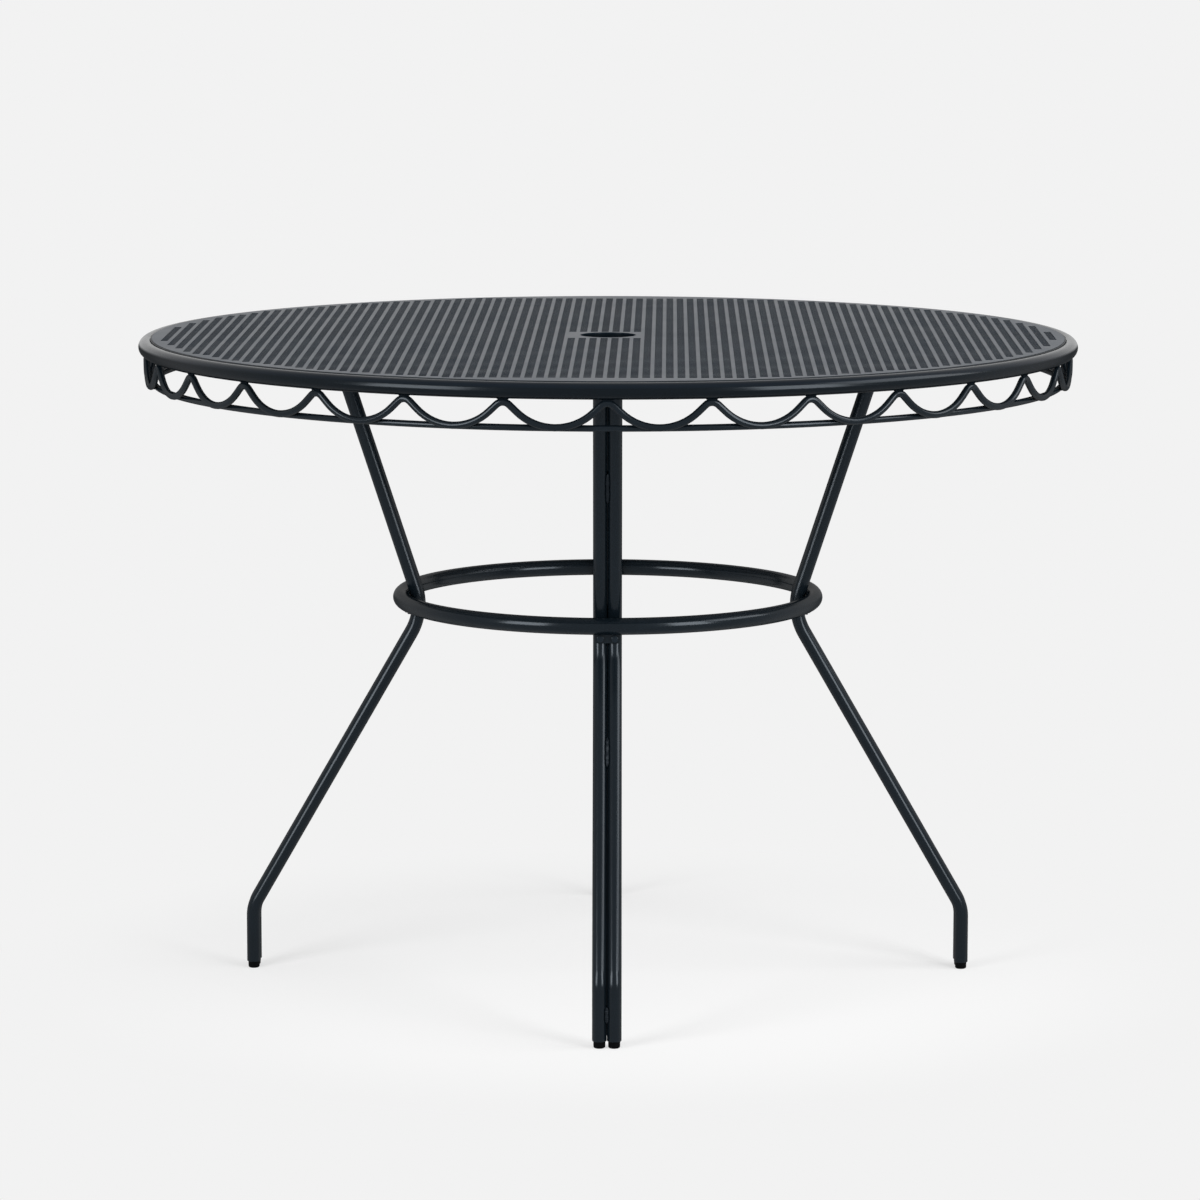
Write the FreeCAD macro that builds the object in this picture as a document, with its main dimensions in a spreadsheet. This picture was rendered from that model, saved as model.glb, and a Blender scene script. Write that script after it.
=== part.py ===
import FreeCAD, Part
import math
import os
import Sketcher

# A round umbrella table in powder-coated steel: a perforated top in a tube rim, a scalloped rod
# skirt over a hoop, four dog-leg legs that are each a pair of tubes, and a brace ring at knee
# height. Millimetres. The origin is on the floor, under the umbrella hole, with +Z up.

SIZES = [
    ("table_height", 737, "floor to the top of the rim"),
    ("top_diameter", 1070, "over the rim"),
    ("rim_tube_diameter", 19, "round tube of the rim"),
    ("sheet_thickness", 1.5, "perforated sheet"),
    ("sheet_set_down", 0.3, "top of the sheet below the top of the rim"),
    ("umbrella_hole_diameter", 63.5, "hole for the umbrella pole, 2.5 in"),
    ("collar_wall", 2, "sleeve under the umbrella hole"),
    ("collar_length", 25, "sleeve under the umbrella hole"),
    ("slot_width", 8.2, "open width of one column of the perforation"),
    ("slot_pitch", 12.4, "from one column to the next"),
    ("slot_shift", -3.9, "middle column from the table's centre line"),
    ("sheet_turn", -0.62, "degrees, the columns from the line through two leg pairs"),
    ("side_border", 7.6, "plain sheet between the round edge and the perforation"),
    ("end_border", 27.6, "plain sheet at the front and the back of the perforation"),
    ("patch_side", 10.2, "beside the umbrella hole, columns this near stop at the plain patch"),
    ("patch_end", 7.8, "plain sheet before and behind the umbrella hole"),
    ("rail_width", 25, "flat box-section rail under the sheet"),
    ("rail_height", 12, "flat box-section rail under the sheet"),
    ("rail_wall", 1.5, "flat box-section rail under the sheet"),
    ("skirt_rod_diameter", 7, "rod of the scallops and the hoop"),
    ("scallop_count", 30, "scallops in one turn of the skirt"),
    ("scallop_depth", 26, "top of a scallop's line to its lowest point"),
    ("scallop_lean", 43, "degrees from level, at the steepest part of a scallop"),
    ("peak_bend_radius", 10, "tight bend where the rod meets the rim"),
    ("hoop_drop", 1.2, "middle of the hoop below a scallop's lowest point"),
    ("leg_tube_diameter", 15.9, "each tube of a leg pair"),
    ("pair_gap", 0.2, "between the two tubes of a pair"),
    ("waist_radius", 212.2, "table's axis to the corner of the leg's waist"),
    ("waist_height", 417.8, "floor to the corner of the leg's waist"),
    ("ankle_height", 72.9, "floor to the corner of the leg's ankle"),
    ("foot_radius", 410.5, "table's axis to the upright foot"),
    ("upper_lean", 18.1, "degrees from upright, above the waist"),
    ("leg_bend_radius", 64, "centre line of both bends"),
    ("foot_swage", 1, "drawn-in end of the tube at the foot"),
    ("glide_height", 7.5, "black glide under the tube"),
    ("glide_inset", 0.4, "glide's side inside the drawn-in end of the tube"),
    ("glide_chamfer", 1.4, "lower edge of the glide"),
    ("plate_side_margin", 4, "leg plate beside the pair of tubes"),
    ("plate_end_margin", 2.5, "leg plate beyond a bolt head"),
    ("plate_thickness", 4, "leg plate"),
    ("bolt_clearance", 4.1, "between a tube's cut end and a bolt head"),
    ("bolt_head_width", 13, "across the flats"),
    ("bolt_head_height", 5.3, "hexagon head"),
    ("brace_tube_diameter", 19, "round tube of the brace ring"),
    ("brace_rise", 17.9, "middle of the brace ring above the corner of the waist"),
    ("bracket_side_margin", 2.5, "bracket beside a screw head"),
    ("bracket_end_margin", 1.3, "bracket below a screw head"),
    ("bracket_thickness", 3, "bracket under the brace ring"),
    ("screw_clearance", 1.4, "between the underside of the brace ring and a screw head"),
    ("screw_head_width", 7, "across the flats"),
    ("screw_head_height", 3, "hexagon head"),
    ("seat_gap", 0.3, "between curved faces that are welded or rest on each other"),
]

# Round tube and rod is drawn with flat sides that touch the true round, so that pieces which
# rest on each other meet flat to flat. Each bend of a scallop is drawn as short runs.
TUBE_SIDES = 8
ROD_SIDES = 6
VALLEY_STEPS = 2
PEAK_STEPS = 1

# Places that follow from the sizes above.
WORKED = [
    ("rim_radius", "(Sizes.top_diameter - Sizes.rim_tube_diameter) / 2"),
    ("rim_height", "Sizes.table_height - Sizes.rim_tube_diameter / 2"),
    ("sheet_top", "Sizes.table_height - Sizes.sheet_set_down"),
    ("sheet_bottom", "sheet_top - Sizes.sheet_thickness"),
    (
        "sheet_radius",
        "rim_radius - Sizes.seat_gap"
        " - sqrt(pow(Sizes.rim_tube_diameter / 2; 2) - pow(sheet_bottom - rim_height; 2))",
    ),
    ("patch_width", "Sizes.umbrella_hole_diameter + 2 * Sizes.patch_side"),
    ("patch_depth", "Sizes.umbrella_hole_diameter + 2 * Sizes.patch_end"),
    ("collar_radius", "Sizes.umbrella_hole_diameter / 2 + Sizes.collar_wall"),
    ("rail_start", "collar_radius + Sizes.seat_gap"),
    ("rail_end", "rim_radius - Sizes.rim_tube_diameter / 2 - Sizes.seat_gap"),
    ("rail_bottom", "sheet_bottom - Sizes.rail_height"),
    ("plate_bottom", "rail_bottom - Sizes.plate_thickness"),
    ("rim_reach", "Sizes.rim_tube_diameter / 2"),
    ("rod_reach", "Sizes.skirt_rod_diameter / 2"),
    ("rod_corner", f"rod_reach / cos(180 deg / {ROD_SIDES})"),
    ("peak_height", "rim_height - rim_reach - Sizes.seat_gap - rod_reach"),
    ("valley_height", "peak_height - Sizes.scallop_depth"),
    ("hoop_height", "valley_height - Sizes.hoop_drop"),
    ("hoop_radius", "rim_radius - rod_corner - Sizes.seat_gap - rod_reach"),
    ("scallop_turn", "360 / round(Sizes.scallop_count)"),
    ("scallop_half", "pi * rim_radius * scallop_turn / 360"),
    ("lean_sine", "sin(Sizes.scallop_lean * 1 deg)"),
    ("lean_cosine", "cos(Sizes.scallop_lean * 1 deg)"),
    (
        "valley_bend_radius",
        "(scallop_half * lean_sine - Sizes.scallop_depth * lean_cosine) / (1 - lean_cosine)"
        " - Sizes.peak_bend_radius",
    ),
    ("tube_reach", "Sizes.leg_tube_diameter / 2"),
    ("glide_reach", "tube_reach - Sizes.foot_swage - Sizes.glide_inset"),
    ("tube_offset", "tube_reach + Sizes.pair_gap / 2"),
    ("foot_axis", "Sizes.foot_radius"),
    (
        "leg_top_radius",
        "Sizes.waist_radius"
        " + (plate_bottom - Sizes.waist_height) * tan(Sizes.upper_lean * 1 deg)",
    ),
    ("tube_cut_reach", "tube_reach / cos(Sizes.upper_lean * 1 deg)"),
    ("bolt_reach", "Sizes.bolt_head_width / sqrt(3)"),
    ("bolt_out", "tube_cut_reach + Sizes.bolt_clearance + bolt_reach"),
    ("plate_length", "2 * (bolt_out + bolt_reach + Sizes.plate_end_margin)"),
    ("plate_width", "2 * (tube_offset + tube_reach + Sizes.plate_side_margin)"),
    (
        "lower_lean",
        "atan((Sizes.foot_radius - Sizes.waist_radius)"
        " / (Sizes.waist_height - Sizes.ankle_height)) / 1 deg",
    ),
    ("waist_turn", "(Sizes.upper_lean + lower_lean) / 2"),
    ("waist_slant", "(Sizes.upper_lean - lower_lean) / 2"),
    ("waist_setback", "Sizes.leg_bend_radius / cos(waist_turn * 1 deg)"),
    ("bend_radius_out", "Sizes.waist_radius + waist_setback * cos(waist_slant * 1 deg)"),
    ("bend_height", "Sizes.waist_height - waist_setback * sin(waist_slant * 1 deg)"),
    ("bend_inside", "Sizes.leg_bend_radius - tube_reach"),
    ("brace_height", "Sizes.waist_height + Sizes.brace_rise"),
    ("brace_reach", "Sizes.brace_tube_diameter / 2"),
    ("brace_corner_height", f"brace_height + brace_reach * tan(180 deg / {TUBE_SIDES})"),
    (
        "brace_seat",
        "bend_radius_out"
        " - sqrt(pow(bend_inside - Sizes.seat_gap; 2) - pow(brace_corner_height - bend_height; 2))",
    ),
    ("brace_radius", "brace_seat + brace_reach"),
    ("screw_reach", "Sizes.screw_head_width / sqrt(3)"),
    ("screw_height", "brace_height - brace_reach - Sizes.screw_clearance - screw_reach"),
    ("bracket_bottom", "screw_height - screw_reach - Sizes.bracket_end_margin"),
    (
        "bracket_width",
        "2 * (tube_offset + Sizes.screw_head_width / 2 + Sizes.bracket_side_margin)",
    ),
    (
        "bracket_seat",
        "bend_radius_out - sqrt(pow(bend_inside; 2) - pow(bend_height - bracket_bottom; 2))",
    ),
    ("bracket_face", "bracket_seat + Sizes.seat_gap"),
    (
        "bracket_top",
        "brace_height - sqrt(pow(brace_reach + Sizes.seat_gap; 2)"
        " - pow(brace_radius - bracket_face - Sizes.bracket_thickness; 2))",
    ),
]

SIDES = {"right": 0, "back": 90, "left": 180, "front": 270}

EDGE_TOLERANCE = 0.001
UP = FreeCAD.Vector(0, 0, 1)

doc = FreeCAD.newDocument("umbrella_table")


def fill_sheet(name, rows, prefix):
    """A spreadsheet with one named value in each row."""
    sheet = doc.addObject("Spreadsheet::Sheet", name)
    for row, (alias, value, *note) in enumerate(rows, start=1):
        sheet.set(f"A{row}", alias)
        sheet.set(f"B{row}", f"{prefix}{value}")
        sheet.setAlias(f"B{row}", alias)
        sheet.set(f"C{row}", "".join(note))
    doc.recompute()
    return sheet


sizes = fill_sheet("Sizes", SIZES, "")
worked = fill_sheet("Worked", WORKED, "=")


def size(alias):
    """A number from the sheets, by its name."""
    source = sizes if hasattr(sizes, alias) else worked
    value = getattr(source, alias)
    return float(getattr(value, "Value", value))


def bind(piece, **expressions):
    """Ties properties of a piece to the sheets."""
    for name, expression in expressions.items():
        piece.setExpression(name, expression)


def place(piece, azimuth, out, across, up):
    """Puts a piece on one side of the table: out from the axis, across the side, and up."""
    piece.Placement = FreeCAD.Placement(FreeCAD.Vector(), FreeCAD.Rotation(UP, azimuth))
    turn = f"{azimuth} deg"
    piece.setExpression("Placement.Base.x", f"cos({turn}) * ({out}) - sin({turn}) * ({across})")
    piece.setExpression("Placement.Base.y", f"sin({turn}) * ({out}) + cos({turn}) * ({across})")
    piece.setExpression("Placement.Base.z", up)


def new_sketch(body, name, role):
    """An empty sketch on one of the body's own origin planes."""
    sketch = body.newObject("Sketcher::SketchObject", name)
    plane = next(f for f in body.Origin.OriginFeatures if f.Role == role)
    sketch.AttachmentSupport = [(plane, "")]
    sketch.MapMode = "FlatFace"
    return sketch


def datum(sketch, name, expression, *constraint):
    """A named dimension of a sketch that follows the sheets."""
    index = sketch.addConstraint(Sketcher.Constraint(*constraint))
    sketch.renameConstraint(index, name)
    sketch.setExpression(f"Constraints.{name}", expression)


def tube_section(sketch, sides, radius, reach):
    """A round tube's section, its middle at a radius and its flats at the tube's reach."""
    step = 2 * math.pi / sides
    middle = FreeCAD.Vector(size(radius), 0, 0)
    corner_reach = size(reach) / math.cos(step / 2)
    angles = [(index + 0.5) * step for index in range(sides)]
    corners = [middle + corner_reach * polar(angle) for angle in angles]
    for start, end in zip(corners, corners[1:] + corners[:1]):
        sketch.addGeometry(Part.LineSegment(start, end))
    around = sketch.addGeometry(Part.Circle(middle, UP, corner_reach), True)
    for line in range(sides):
        following = (line + 1) % sides
        sketch.addConstraint(Sketcher.Constraint("Coincident", line, 2, following, 1))
        sketch.addConstraint(Sketcher.Constraint("PointOnObject", line, 1, around))
        if following:
            sketch.addConstraint(Sketcher.Constraint("Equal", line, following))
    sketch.addConstraint(Sketcher.Constraint("Vertical", sides - 1))
    sketch.addConstraint(Sketcher.Constraint("PointOnObject", around, 3, -1))
    corner_expression = f"Worked.{reach} / cos(180 deg / {sides})"
    datum(sketch, "corner_reach", corner_expression, "Radius", around, corner_reach)
    datum(sketch, "middle", f"Worked.{radius}", "DistanceX", -1, 1, around, 3, middle.x)


def polar(angle):
    """The unit vector at an angle."""
    return FreeCAD.Vector(math.cos(angle), math.sin(angle), 0)


def ring(label, sides, radius, reach, height):
    """A closed ring of round tube or rod."""
    body = doc.addObject("PartDesign::Body", label)
    sketch = new_sketch(body, "ring_section", "XZ_Plane")
    tube_section(sketch, sides, radius, reach)
    revolution = body.newObject("PartDesign::Revolution", "ring_turn")
    revolution.Profile = sketch
    revolution.ReferenceAxis = (sketch, ["V_Axis"])
    revolution.Angle = 360
    body.setExpression("Placement.Base.z", height)


def top_sheet():
    """The round sheet with the umbrella hole and the columns of its perforation."""
    blank = doc.addObject("Part::Cylinder", "sheet_blank")
    bind(blank, Radius="Worked.sheet_radius", Height="Sizes.sheet_thickness")
    hole = doc.addObject("Part::Cylinder", "sheet_hole")
    bind(hole, Radius="Sizes.umbrella_hole_diameter / 2", Height="Sizes.sheet_thickness")
    bored = doc.addObject("Part::Cut", "sheet_bored")
    bored.Base = blank
    bored.Tool = hole
    slots = doc.addObject("Part::Feature", "sheet_slots")
    slots.Shape = Part.makeCompound(list(perforation_slots()))
    sheet = doc.addObject("Part::Cut", "top_sheet")
    sheet.Base = bored
    sheet.Tool = slots
    turn = FreeCAD.Rotation(UP, size("sheet_turn"))
    sheet.Placement = FreeCAD.Placement(FreeCAD.Vector(), turn)
    sheet.setExpression("Placement.Base.z", "Worked.sheet_bottom")


def perforation_slots():
    """One long slot for each column of holes, or two where the plain patch divides it."""
    width = size("slot_width")
    pitch = size("slot_pitch")
    field_radius = size("sheet_radius") - size("side_border")
    field_end = size("sheet_radius") - size("end_border")
    columns = math.ceil(field_radius / pitch)
    for column in range(-columns, columns + 1):
        middle = size("slot_shift") + column * pitch
        edge = abs(middle) + width / 2
        if edge >= field_radius:
            continue
        reach = min(field_end, math.sqrt(field_radius**2 - edge**2))
        if abs(middle) < size("patch_width") / 2:
            inner = size("patch_depth") / 2
            yield slot(middle, width, inner, reach)
            yield slot(middle, width, -reach, -inner)
        elif reach > width:
            yield slot(middle, width, -reach, reach)


def slot(middle, width, front, back):
    """A box through the sheet, from front to back of one column."""
    corner = FreeCAD.Vector(middle - width / 2, front, 0)
    return Part.makeBox(width, back - front, size("sheet_thickness"), corner)


def umbrella_collar():
    """The sleeve that holds the umbrella pole upright under the sheet."""
    body = doc.addObject("PartDesign::Body", "umbrella_collar")
    sketch = new_sketch(body, "collar_section", "XY_Plane")
    for index, expression in enumerate(
        ["Sizes.umbrella_hole_diameter / 2", "Worked.collar_radius"]
    ):
        radius = size("collar_radius") - (1 - index) * size("collar_wall")
        sketch.addGeometry(Part.Circle(FreeCAD.Vector(), UP, radius))
        sketch.addConstraint(Sketcher.Constraint("Coincident", index, 3, -1, 1))
        datum(sketch, f"radius_{index}", expression, "Radius", index, radius)
    pad = body.newObject("PartDesign::Pad", "collar_pad")
    pad.Profile = sketch
    bind(pad, Length="Sizes.collar_length")
    body.setExpression("Placement.Base.z", "Worked.sheet_bottom - Sizes.collar_length")


def support_rail(side, azimuth):
    """A flat box-section rail from the collar to the rim, under the sheet."""
    outer = doc.addObject("Part::Box", f"rail_outside_{side}")
    inner = doc.addObject("Part::Box", f"rail_inside_{side}")
    length = "Worked.rail_end - Worked.rail_start"
    bind(outer, Length=length, Width="Sizes.rail_width", Height="Sizes.rail_height")
    bind(
        inner,
        Length=length,
        Width="Sizes.rail_width - 2 * Sizes.rail_wall",
        Height="Sizes.rail_height - 2 * Sizes.rail_wall",
    )
    inner.setExpression("Placement.Base.y", "Sizes.rail_wall")
    inner.setExpression("Placement.Base.z", "Sizes.rail_wall")
    rail = doc.addObject("Part::Cut", f"support_rail_{side}")
    rail.Base = outer
    rail.Tool = inner
    place(rail, azimuth, "Worked.rail_start", "-Sizes.rail_width / 2", "Worked.rail_bottom")


def leg_plate(side, azimuth):
    """The plate on which a leg pair carries its rail."""
    plate = doc.addObject("Part::Box", f"leg_plate_{side}")
    bind(
        plate,
        Length="Worked.plate_length",
        Width="Worked.plate_width",
        Height="Sizes.plate_thickness",
    )
    start = "Worked.leg_top_radius - Worked.plate_length / 2"
    place(plate, azimuth, start, "-Worked.plate_width / 2", "Worked.plate_bottom")


def hexagon_head(name, width, height):
    """A hexagon head, by its width across the flats."""
    head = doc.addObject("Part::Prism", name)
    head.Polygon = 6
    bind(head, Circumradius=f"{width} / sqrt(3)", Height=height)
    return head


def plate_bolts():
    """Two bolt heads under each leg plate."""
    heads = []
    for side, azimuth in SIDES.items():
        for end, sign in (("inner", "-"), ("outer", "+")):
            head = hexagon_head(
                f"bolt_{side}_{end}", "Sizes.bolt_head_width", "Sizes.bolt_head_height"
            )
            out = f"Worked.leg_top_radius {sign} Worked.bolt_out"
            place(head, azimuth, out, "0", "Worked.plate_bottom - Sizes.bolt_head_height")
            heads.append(head)
    group("plate_bolts", heads)


def group(label, pieces):
    """Identical pieces that share one name."""
    compound = doc.addObject("Part::Compound", label)
    compound.Links = pieces


def scallop_line():
    """Corners of one scallop's line, unrolled: along the skirt, and up from its lowest point.

    Each bend is drawn as short runs that touch its arc. The wide bend is below, the tight one
    above, and a straight run joins them.
    """
    half = size("scallop_half")
    depth = size("scallop_depth")
    lean = math.radians(size("scallop_lean"))
    climb = bend_corners(size("valley_bend_radius"), lean, VALLEY_STEPS)
    crest = bend_corners(size("peak_bend_radius"), lean, PEAK_STEPS)
    climb += [(half - along, depth - up) for along, up in reversed(crest)]
    descent = [(2 * half - along, up) for along, up in reversed(climb)]
    return climb + descent


def bend_corners(radius, lean, steps):
    """Corners of the runs that touch an arc, from its level point to where it leans most."""
    step = lean / steps
    corner_reach = radius / math.cos(step / 2)
    angles = [(index + 0.5) * step for index in range(steps)]
    return [
        (corner_reach * math.sin(angle), radius - corner_reach * math.cos(angle))
        for angle in angles
    ]


def on_skirt(along, up):
    """A point of the unrolled skirt, wrapped round the table."""
    radius = size("rim_radius")
    angle = along / radius
    return FreeCAD.Vector(radius * math.cos(angle), radius * math.sin(angle), up)


def scallop_rod():
    """The one long rod that is bent into scallops and closed round the table.

    Its section is carried along the runs. Where two runs meet, each corner line of the rod ends
    on the plane that halves the turn.
    """
    corners = [on_skirt(*point) for point in scallop_line()]
    turn = FreeCAD.Rotation(UP, size("scallop_turn"))
    path = corners + [turn.multVec(corners[0])]
    start = FreeCAD.Vector(corners[0].x, 0, corners[0].z)
    section = [start + offset for offset in rod_section()]
    before = (corners[0] - start).normalize()
    rings = []
    for corner, following in zip(path, path[1:]):
        after = (following - corner).normalize()
        normal = before + after
        section = [
            point + before * ((corner - point).dot(normal) / before.dot(normal))
            for point in section
        ]
        rings.append(section)
        before = after
    whole = []
    for index in range(round(size("scallop_count"))):
        spin = FreeCAD.Rotation(UP, size("scallop_turn") * index)
        whole += [[spin.multVec(point) for point in section] for section in rings]
    rod = doc.addObject("Part::Feature", "scallop_rod")
    rod.Shape = closed_tube(whole)
    rod.setExpression("Placement.Base.z", "Worked.valley_height")


def rod_section():
    """Corners of the rod's section about its middle, with a flat above and a flat below."""
    for index in range(ROD_SIDES):
        corner = size("rod_corner") * polar(index * 2 * math.pi / ROD_SIDES)
        yield FreeCAD.Vector(corner.x, 0, corner.y)


def closed_tube(rings):
    """A solid between rings of corners, each joined to the next and the last to the first."""
    faces = []
    for near, far in zip(rings, rings[1:] + rings[:1]):
        for index in range(len(near)):
            other = (index + 1) % len(near)
            outline = [near[index], near[other], far[other], far[index], near[index]]
            faces.append(Part.Face(Part.makePolygon(outline)))
    shell = Part.makeShell(faces)
    shell.sewShape()
    return Part.makeSolid(shell)


def leg_path(body):
    """The leg's centre line: upright foot, outward lean, waist bend, and the lean to the top."""
    sketch = new_sketch(body, "leg_line", "XZ_Plane")
    radius = size("leg_bend_radius")
    ankle = FreeCAD.Vector(size("foot_radius"), size("ankle_height"), 0)
    waist = FreeCAD.Vector(size("waist_radius"), size("waist_height"), 0)
    foot = FreeCAD.Vector(ankle.x, size("glide_height"), 0)
    spare = size("leg_tube_diameter")
    rise = size("plate_bottom") + spare - waist.y
    lean = math.tan(math.radians(size("upper_lean")))
    top = waist + FreeCAD.Vector(rise * lean, rise, 0)
    ankle_bend = bend(foot, ankle, waist, radius)
    waist_bend = bend(ankle, waist, top, radius)
    sketch.addGeometry(Part.LineSegment(foot, ankle_bend[0]))
    sketch.addGeometry(anticlockwise(*ankle_bend))
    sketch.addGeometry(Part.LineSegment(ankle_bend[2], waist_bend[0]))
    sketch.addGeometry(anticlockwise(*waist_bend))
    sketch.addGeometry(Part.LineSegment(waist_bend[2], top))
    for first, second, point in (
        (0, 1, ankle_bend[0]),
        (1, 2, ankle_bend[2]),
        (2, 3, waist_bend[0]),
        (3, 4, waist_bend[2]),
    ):
        ends = (first, end_at(sketch, first, point), second, end_at(sketch, second, point))
        sketch.addConstraint(Sketcher.Constraint("Tangent", *ends))
    sketch.addConstraint(Sketcher.Constraint("Vertical", 0))
    mark = sketch.addGeometry(Part.Point(waist))
    sketch.addConstraint(Sketcher.Constraint("PointOnObject", mark, 1, 2))
    sketch.addConstraint(Sketcher.Constraint("PointOnObject", mark, 1, 4))
    sketch.setConstruction(mark, True)
    waist_x = ("DistanceX", -1, 1, mark, 1, waist.x)
    waist_y = ("DistanceY", -1, 1, mark, 1, waist.y)
    datum(sketch, "waist_radius", "Sizes.waist_radius", *waist_x)
    datum(sketch, "waist_height", "Sizes.waist_height", *waist_y)
    datum(sketch, "foot_radius", "Sizes.foot_radius", "DistanceX", -1, 1, 0, 1, foot.x)
    datum(sketch, "foot_height", "Sizes.glide_height", "DistanceY", -1, 1, 0, 1, foot.y)
    top_expression = "Worked.plate_bottom + Sizes.leg_tube_diameter"
    datum(sketch, "top_height", top_expression, "DistanceY", -1, 1, 4, 2, top.y)
    datum(sketch, "ankle_bend", "Sizes.leg_bend_radius", "Radius", 1, radius)
    datum(sketch, "waist_bend", "Sizes.leg_bend_radius", "Radius", 3, radius)
    lower = math.radians(90 + size("lower_lean"))
    upper = math.radians(90 - size("upper_lean"))
    datum(sketch, "lower_lean", "(90 + Worked.lower_lean) * 1 deg", "Angle", 2, lower)
    datum(sketch, "upper_lean", "(90 - Sizes.upper_lean) * 1 deg", "Angle", 4, upper)
    return sketch


def bend(before, corner, after, radius):
    """Start, middle and end of the arc that rounds a corner."""
    back = (before - corner).normalize()
    ahead = (after - corner).normalize()
    half = back.getAngle(ahead) / 2
    middle = (back + ahead).normalize()
    setback = radius / math.tan(half)
    crown = corner + middle * (radius / math.sin(half) - radius)
    return corner + back * setback, crown, corner + ahead * setback


def anticlockwise(start, crown, end):
    """The arc through three points, drawn anticlockwise as sketches keep their arcs."""
    turn = (crown - start).cross(end - crown).z
    return Part.Arc(start, crown, end) if turn > 0 else Part.Arc(end, crown, start)


def end_at(sketch, index, point):
    """Which end of a line or arc lies at a point."""
    gap = (sketch.getPoint(index, 1) - point).Length
    return 1 if gap < (sketch.getPoint(index, 2) - point).Length else 2


def leg_tube(side, azimuth, mate, sign):
    """One tube of a leg pair, swept along its centre line and cut level under the plate."""
    body = doc.addObject("PartDesign::Body", f"leg_tube_{side}_{mate}")
    path = leg_path(body)
    section = new_sketch(body, "foot_section", "XY_Plane")
    section.setExpression("AttachmentOffset.Base.z", "Sizes.glide_height")
    tube_section(section, TUBE_SIDES, "foot_axis", "tube_reach")
    pipe = body.newObject("PartDesign::AdditivePipe", "tube_sweep")
    pipe.Profile = section
    pipe.Spine = (path, ["Edge1", "Edge2", "Edge3", "Edge4", "Edge5"])
    doc.recompute()
    level = new_sketch(body, "level_cut", "XY_Plane")
    level.setExpression("AttachmentOffset.Base.z", "Worked.plate_bottom")
    level.addGeometry(Part.Circle(FreeCAD.Vector(), UP, size("foot_radius")))
    datum(level, "reach", "Sizes.foot_radius", "Radius", 0, size("foot_radius"))
    level.addConstraint(Sketcher.Constraint("Coincident", 0, 3, -1, 1))
    cut = body.newObject("PartDesign::Pocket", "level_pocket")
    cut.Profile = level
    cut.Type = "ThroughAll"
    cut.Reversed = True
    doc.recompute()
    swage = body.newObject("PartDesign::Chamfer", "foot_swage")
    swage.Base = (cut, list(foot_edges(cut.Shape)))
    bind(swage, Size="Sizes.foot_swage")
    place(body, azimuth, "0", f"{sign} * Worked.tube_offset", "0")


def foot_edges(shape):
    """Names of the edges round the lower end of a tube."""
    lowest = min(vertex.Z for vertex in shape.Vertexes)
    for index, edge in enumerate(shape.Edges, start=1):
        if max(vertex.Z for vertex in edge.Vertexes) - lowest < EDGE_TOLERANCE:
            yield f"Edge{index}"


def foot_glide(side, azimuth, mate, sign):
    """The black glide under one tube, with its lower edge chamfered."""
    body = doc.addObject("PartDesign::Body", f"foot_glide_{side}_{mate}")
    sketch = new_sketch(body, "glide_section", "XY_Plane")
    tube_section(sketch, TUBE_SIDES, "foot_axis", "glide_reach")
    pad = body.newObject("PartDesign::Pad", "glide_pad")
    pad.Profile = sketch
    bind(pad, Length="Sizes.glide_height")
    doc.recompute()
    chamfer = body.newObject("PartDesign::Chamfer", "glide_tip")
    chamfer.Base = (pad, list(foot_edges(pad.Shape)))
    bind(chamfer, Size="Sizes.glide_chamfer")
    place(body, azimuth, "0", f"{sign} * Worked.tube_offset", "0")


def ring_bracket(side, azimuth):
    """The small plate that joins the brace ring to a leg pair."""
    bracket = doc.addObject("Part::Box", f"ring_bracket_{side}")
    bind(
        bracket,
        Length="Sizes.bracket_thickness",
        Width="Worked.bracket_width",
        Height="Worked.bracket_top - Worked.bracket_bottom",
    )
    across = "-Worked.bracket_width / 2"
    place(bracket, azimuth, "Worked.bracket_face", across, "Worked.bracket_bottom")


def ring_screws():
    """Two screw heads on each bracket, one over each tube."""
    heads = []
    outward = FreeCAD.Rotation(FreeCAD.Vector(0, 1, 0), 90)
    for side, azimuth in SIDES.items():
        for mate, sign in (("a", -1), ("b", 1)):
            head = hexagon_head(
                f"screw_{side}_{mate}", "Sizes.screw_head_width", "Sizes.screw_head_height"
            )
            out = "Worked.bracket_face + Sizes.bracket_thickness"
            place(head, azimuth, out, f"{sign} * Worked.tube_offset", "Worked.screw_height")
            head.Placement.Rotation = head.Placement.Rotation * outward
            heads.append(head)
    group("ring_screws", heads)


def build():
    """Every piece of the table."""
    ring("rim_tube", TUBE_SIDES, "rim_radius", "rim_reach", "Worked.rim_height")
    ring("brace_ring", TUBE_SIDES, "brace_radius", "brace_reach", "Worked.brace_height")
    ring("skirt_hoop", ROD_SIDES, "hoop_radius", "rod_reach", "Worked.hoop_height")
    top_sheet()
    umbrella_collar()
    scallop_rod()
    plate_bolts()
    ring_screws()
    for side, azimuth in SIDES.items():
        support_rail(side, azimuth)
        leg_plate(side, azimuth)
        ring_bracket(side, azimuth)
        for mate, sign in (("a", -1), ("b", 1)):
            leg_tube(side, azimuth, mate, sign)
            foot_glide(side, azimuth, mate, sign)
    doc.recompute()


def sub_parts():
    """Every finished piece: whatever no other piece or body is made from."""
    for piece in doc.Objects:
        inner = piece.getParentGeoFeatureGroup() is not None
        used = any(other.isDerivedFrom("Part::Feature") for other in piece.InList)
        if piece.isDerivedFrom("Part::Feature") and not inner and not used:
            yield piece


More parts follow.
